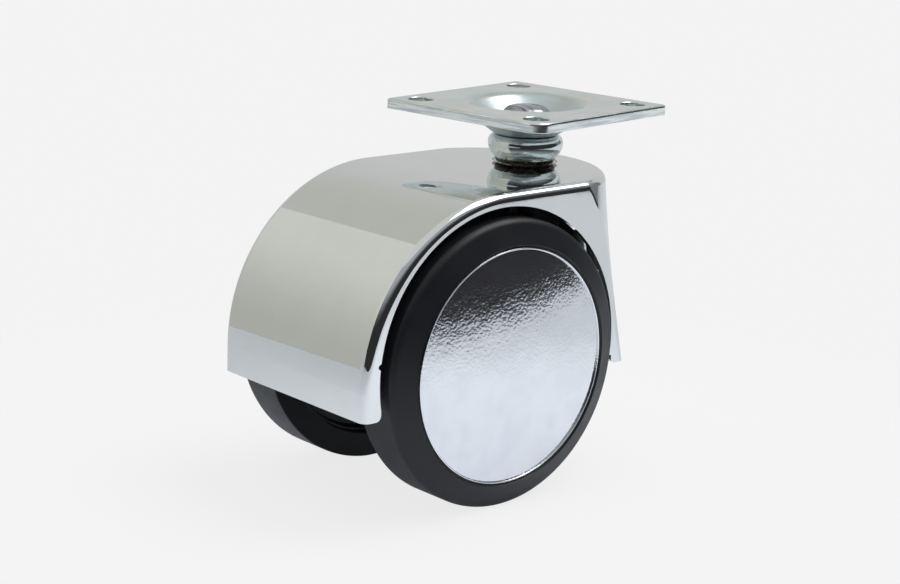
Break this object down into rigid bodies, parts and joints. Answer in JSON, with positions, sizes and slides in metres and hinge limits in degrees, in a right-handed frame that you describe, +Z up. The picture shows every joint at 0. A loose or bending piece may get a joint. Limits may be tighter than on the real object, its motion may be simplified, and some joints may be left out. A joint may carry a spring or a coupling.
{
  "type": "hooded swivel castor",
  "caption": "Twin-wheel furniture castor with a square screw plate, ball race and chromed steel hood.",
  "frame": {"origin": "centre of the top plate's upper face, on the swivel axis", "axes": "+Z up out of the plate, +X towards the hood's nose with the axle behind, +Y towards the left wheel"},
  "size_m": [0.0851, 0.0574, 0.078],
  "materials": {
    "zinc_plate": "bright zinc plate, pressed",
    "zinc_race": "bright zinc plate, turned",
    "zinc_pin": "bright zinc plate",
    "spring_steel": "blackened spring steel",
    "ball_steel": "polished steel balls in grease",
    "hood_chrome": "mirror chrome plate on drawn steel",
    "greasy_steel": "zinc plate darkened by grease",
    "body_nylon": "moulded black nylon",
    "bush_acetal": "natural acetal",
    "axle_steel": "drawn steel",
    "core_nylon": "moulded dark nylon",
    "tyre_black": "satin black polyurethane",
    "cap_chrome": "chrome plate with a fine orange-peel texture"
  },
  "bodies": {
    "plate": {"top_plate": "zinc_plate", "race_cup": "zinc_race", "kingpin": "zinc_pin", "kingpin_washer": "zinc_pin", "kingpin_circlip": "spring_steel"},
    "ball_ring": {"race_balls": "ball_steel"},
    "swivel": {"hood": "hood_chrome", "lower_race": "greasy_steel", "centre_body": "body_nylon", "sleeve_bush": "bush_acetal", "axle": "axle_steel", "axle_spacer_left": "zinc_pin", "axle_spacer_right": "zinc_pin", "axle_clip_left": "spring_steel", "axle_clip_right": "spring_steel"},
    "left_wheel": {"wheel_core_left": "core_nylon", "tyre_left": "tyre_black", "wheel_cap_left": "cap_chrome", "wheel_bush_left": "bush_acetal"},
    "right_wheel": {"wheel_core_right": "core_nylon", "tyre_right": "tyre_black", "wheel_cap_right": "cap_chrome", "wheel_bush_right": "bush_acetal"}
  },
  "joints": [
    {"name": "swivel_turn", "type": "hinge", "parent": "plate", "child": "swivel", "pos_m": [0, 0, -0.0142], "axis": [0, 0, 1], "continuous": true},
    {"name": "ball_ring_turn", "type": "hinge", "parent": "plate", "child": "ball_ring", "pos_m": [0, 0, -0.0092], "axis": [0, 0, 1], "continuous": true},
    {"name": "left_wheel_turn", "type": "hinge", "parent": "swivel", "child": "left_wheel", "pos_m": [-0.0265, 0.0215, -0.048], "axis": [0, 1, 0], "continuous": true},
    {"name": "right_wheel_turn", "type": "hinge", "parent": "swivel", "child": "right_wheel", "pos_m": [-0.0265, -0.0215, -0.048], "axis": [0, 1, 0], "continuous": true}
  ],
  "couplings": [
    {"joint": "ball_ring_turn", "follows": "swivel_turn", "ratio": 0.5}
  ]
}
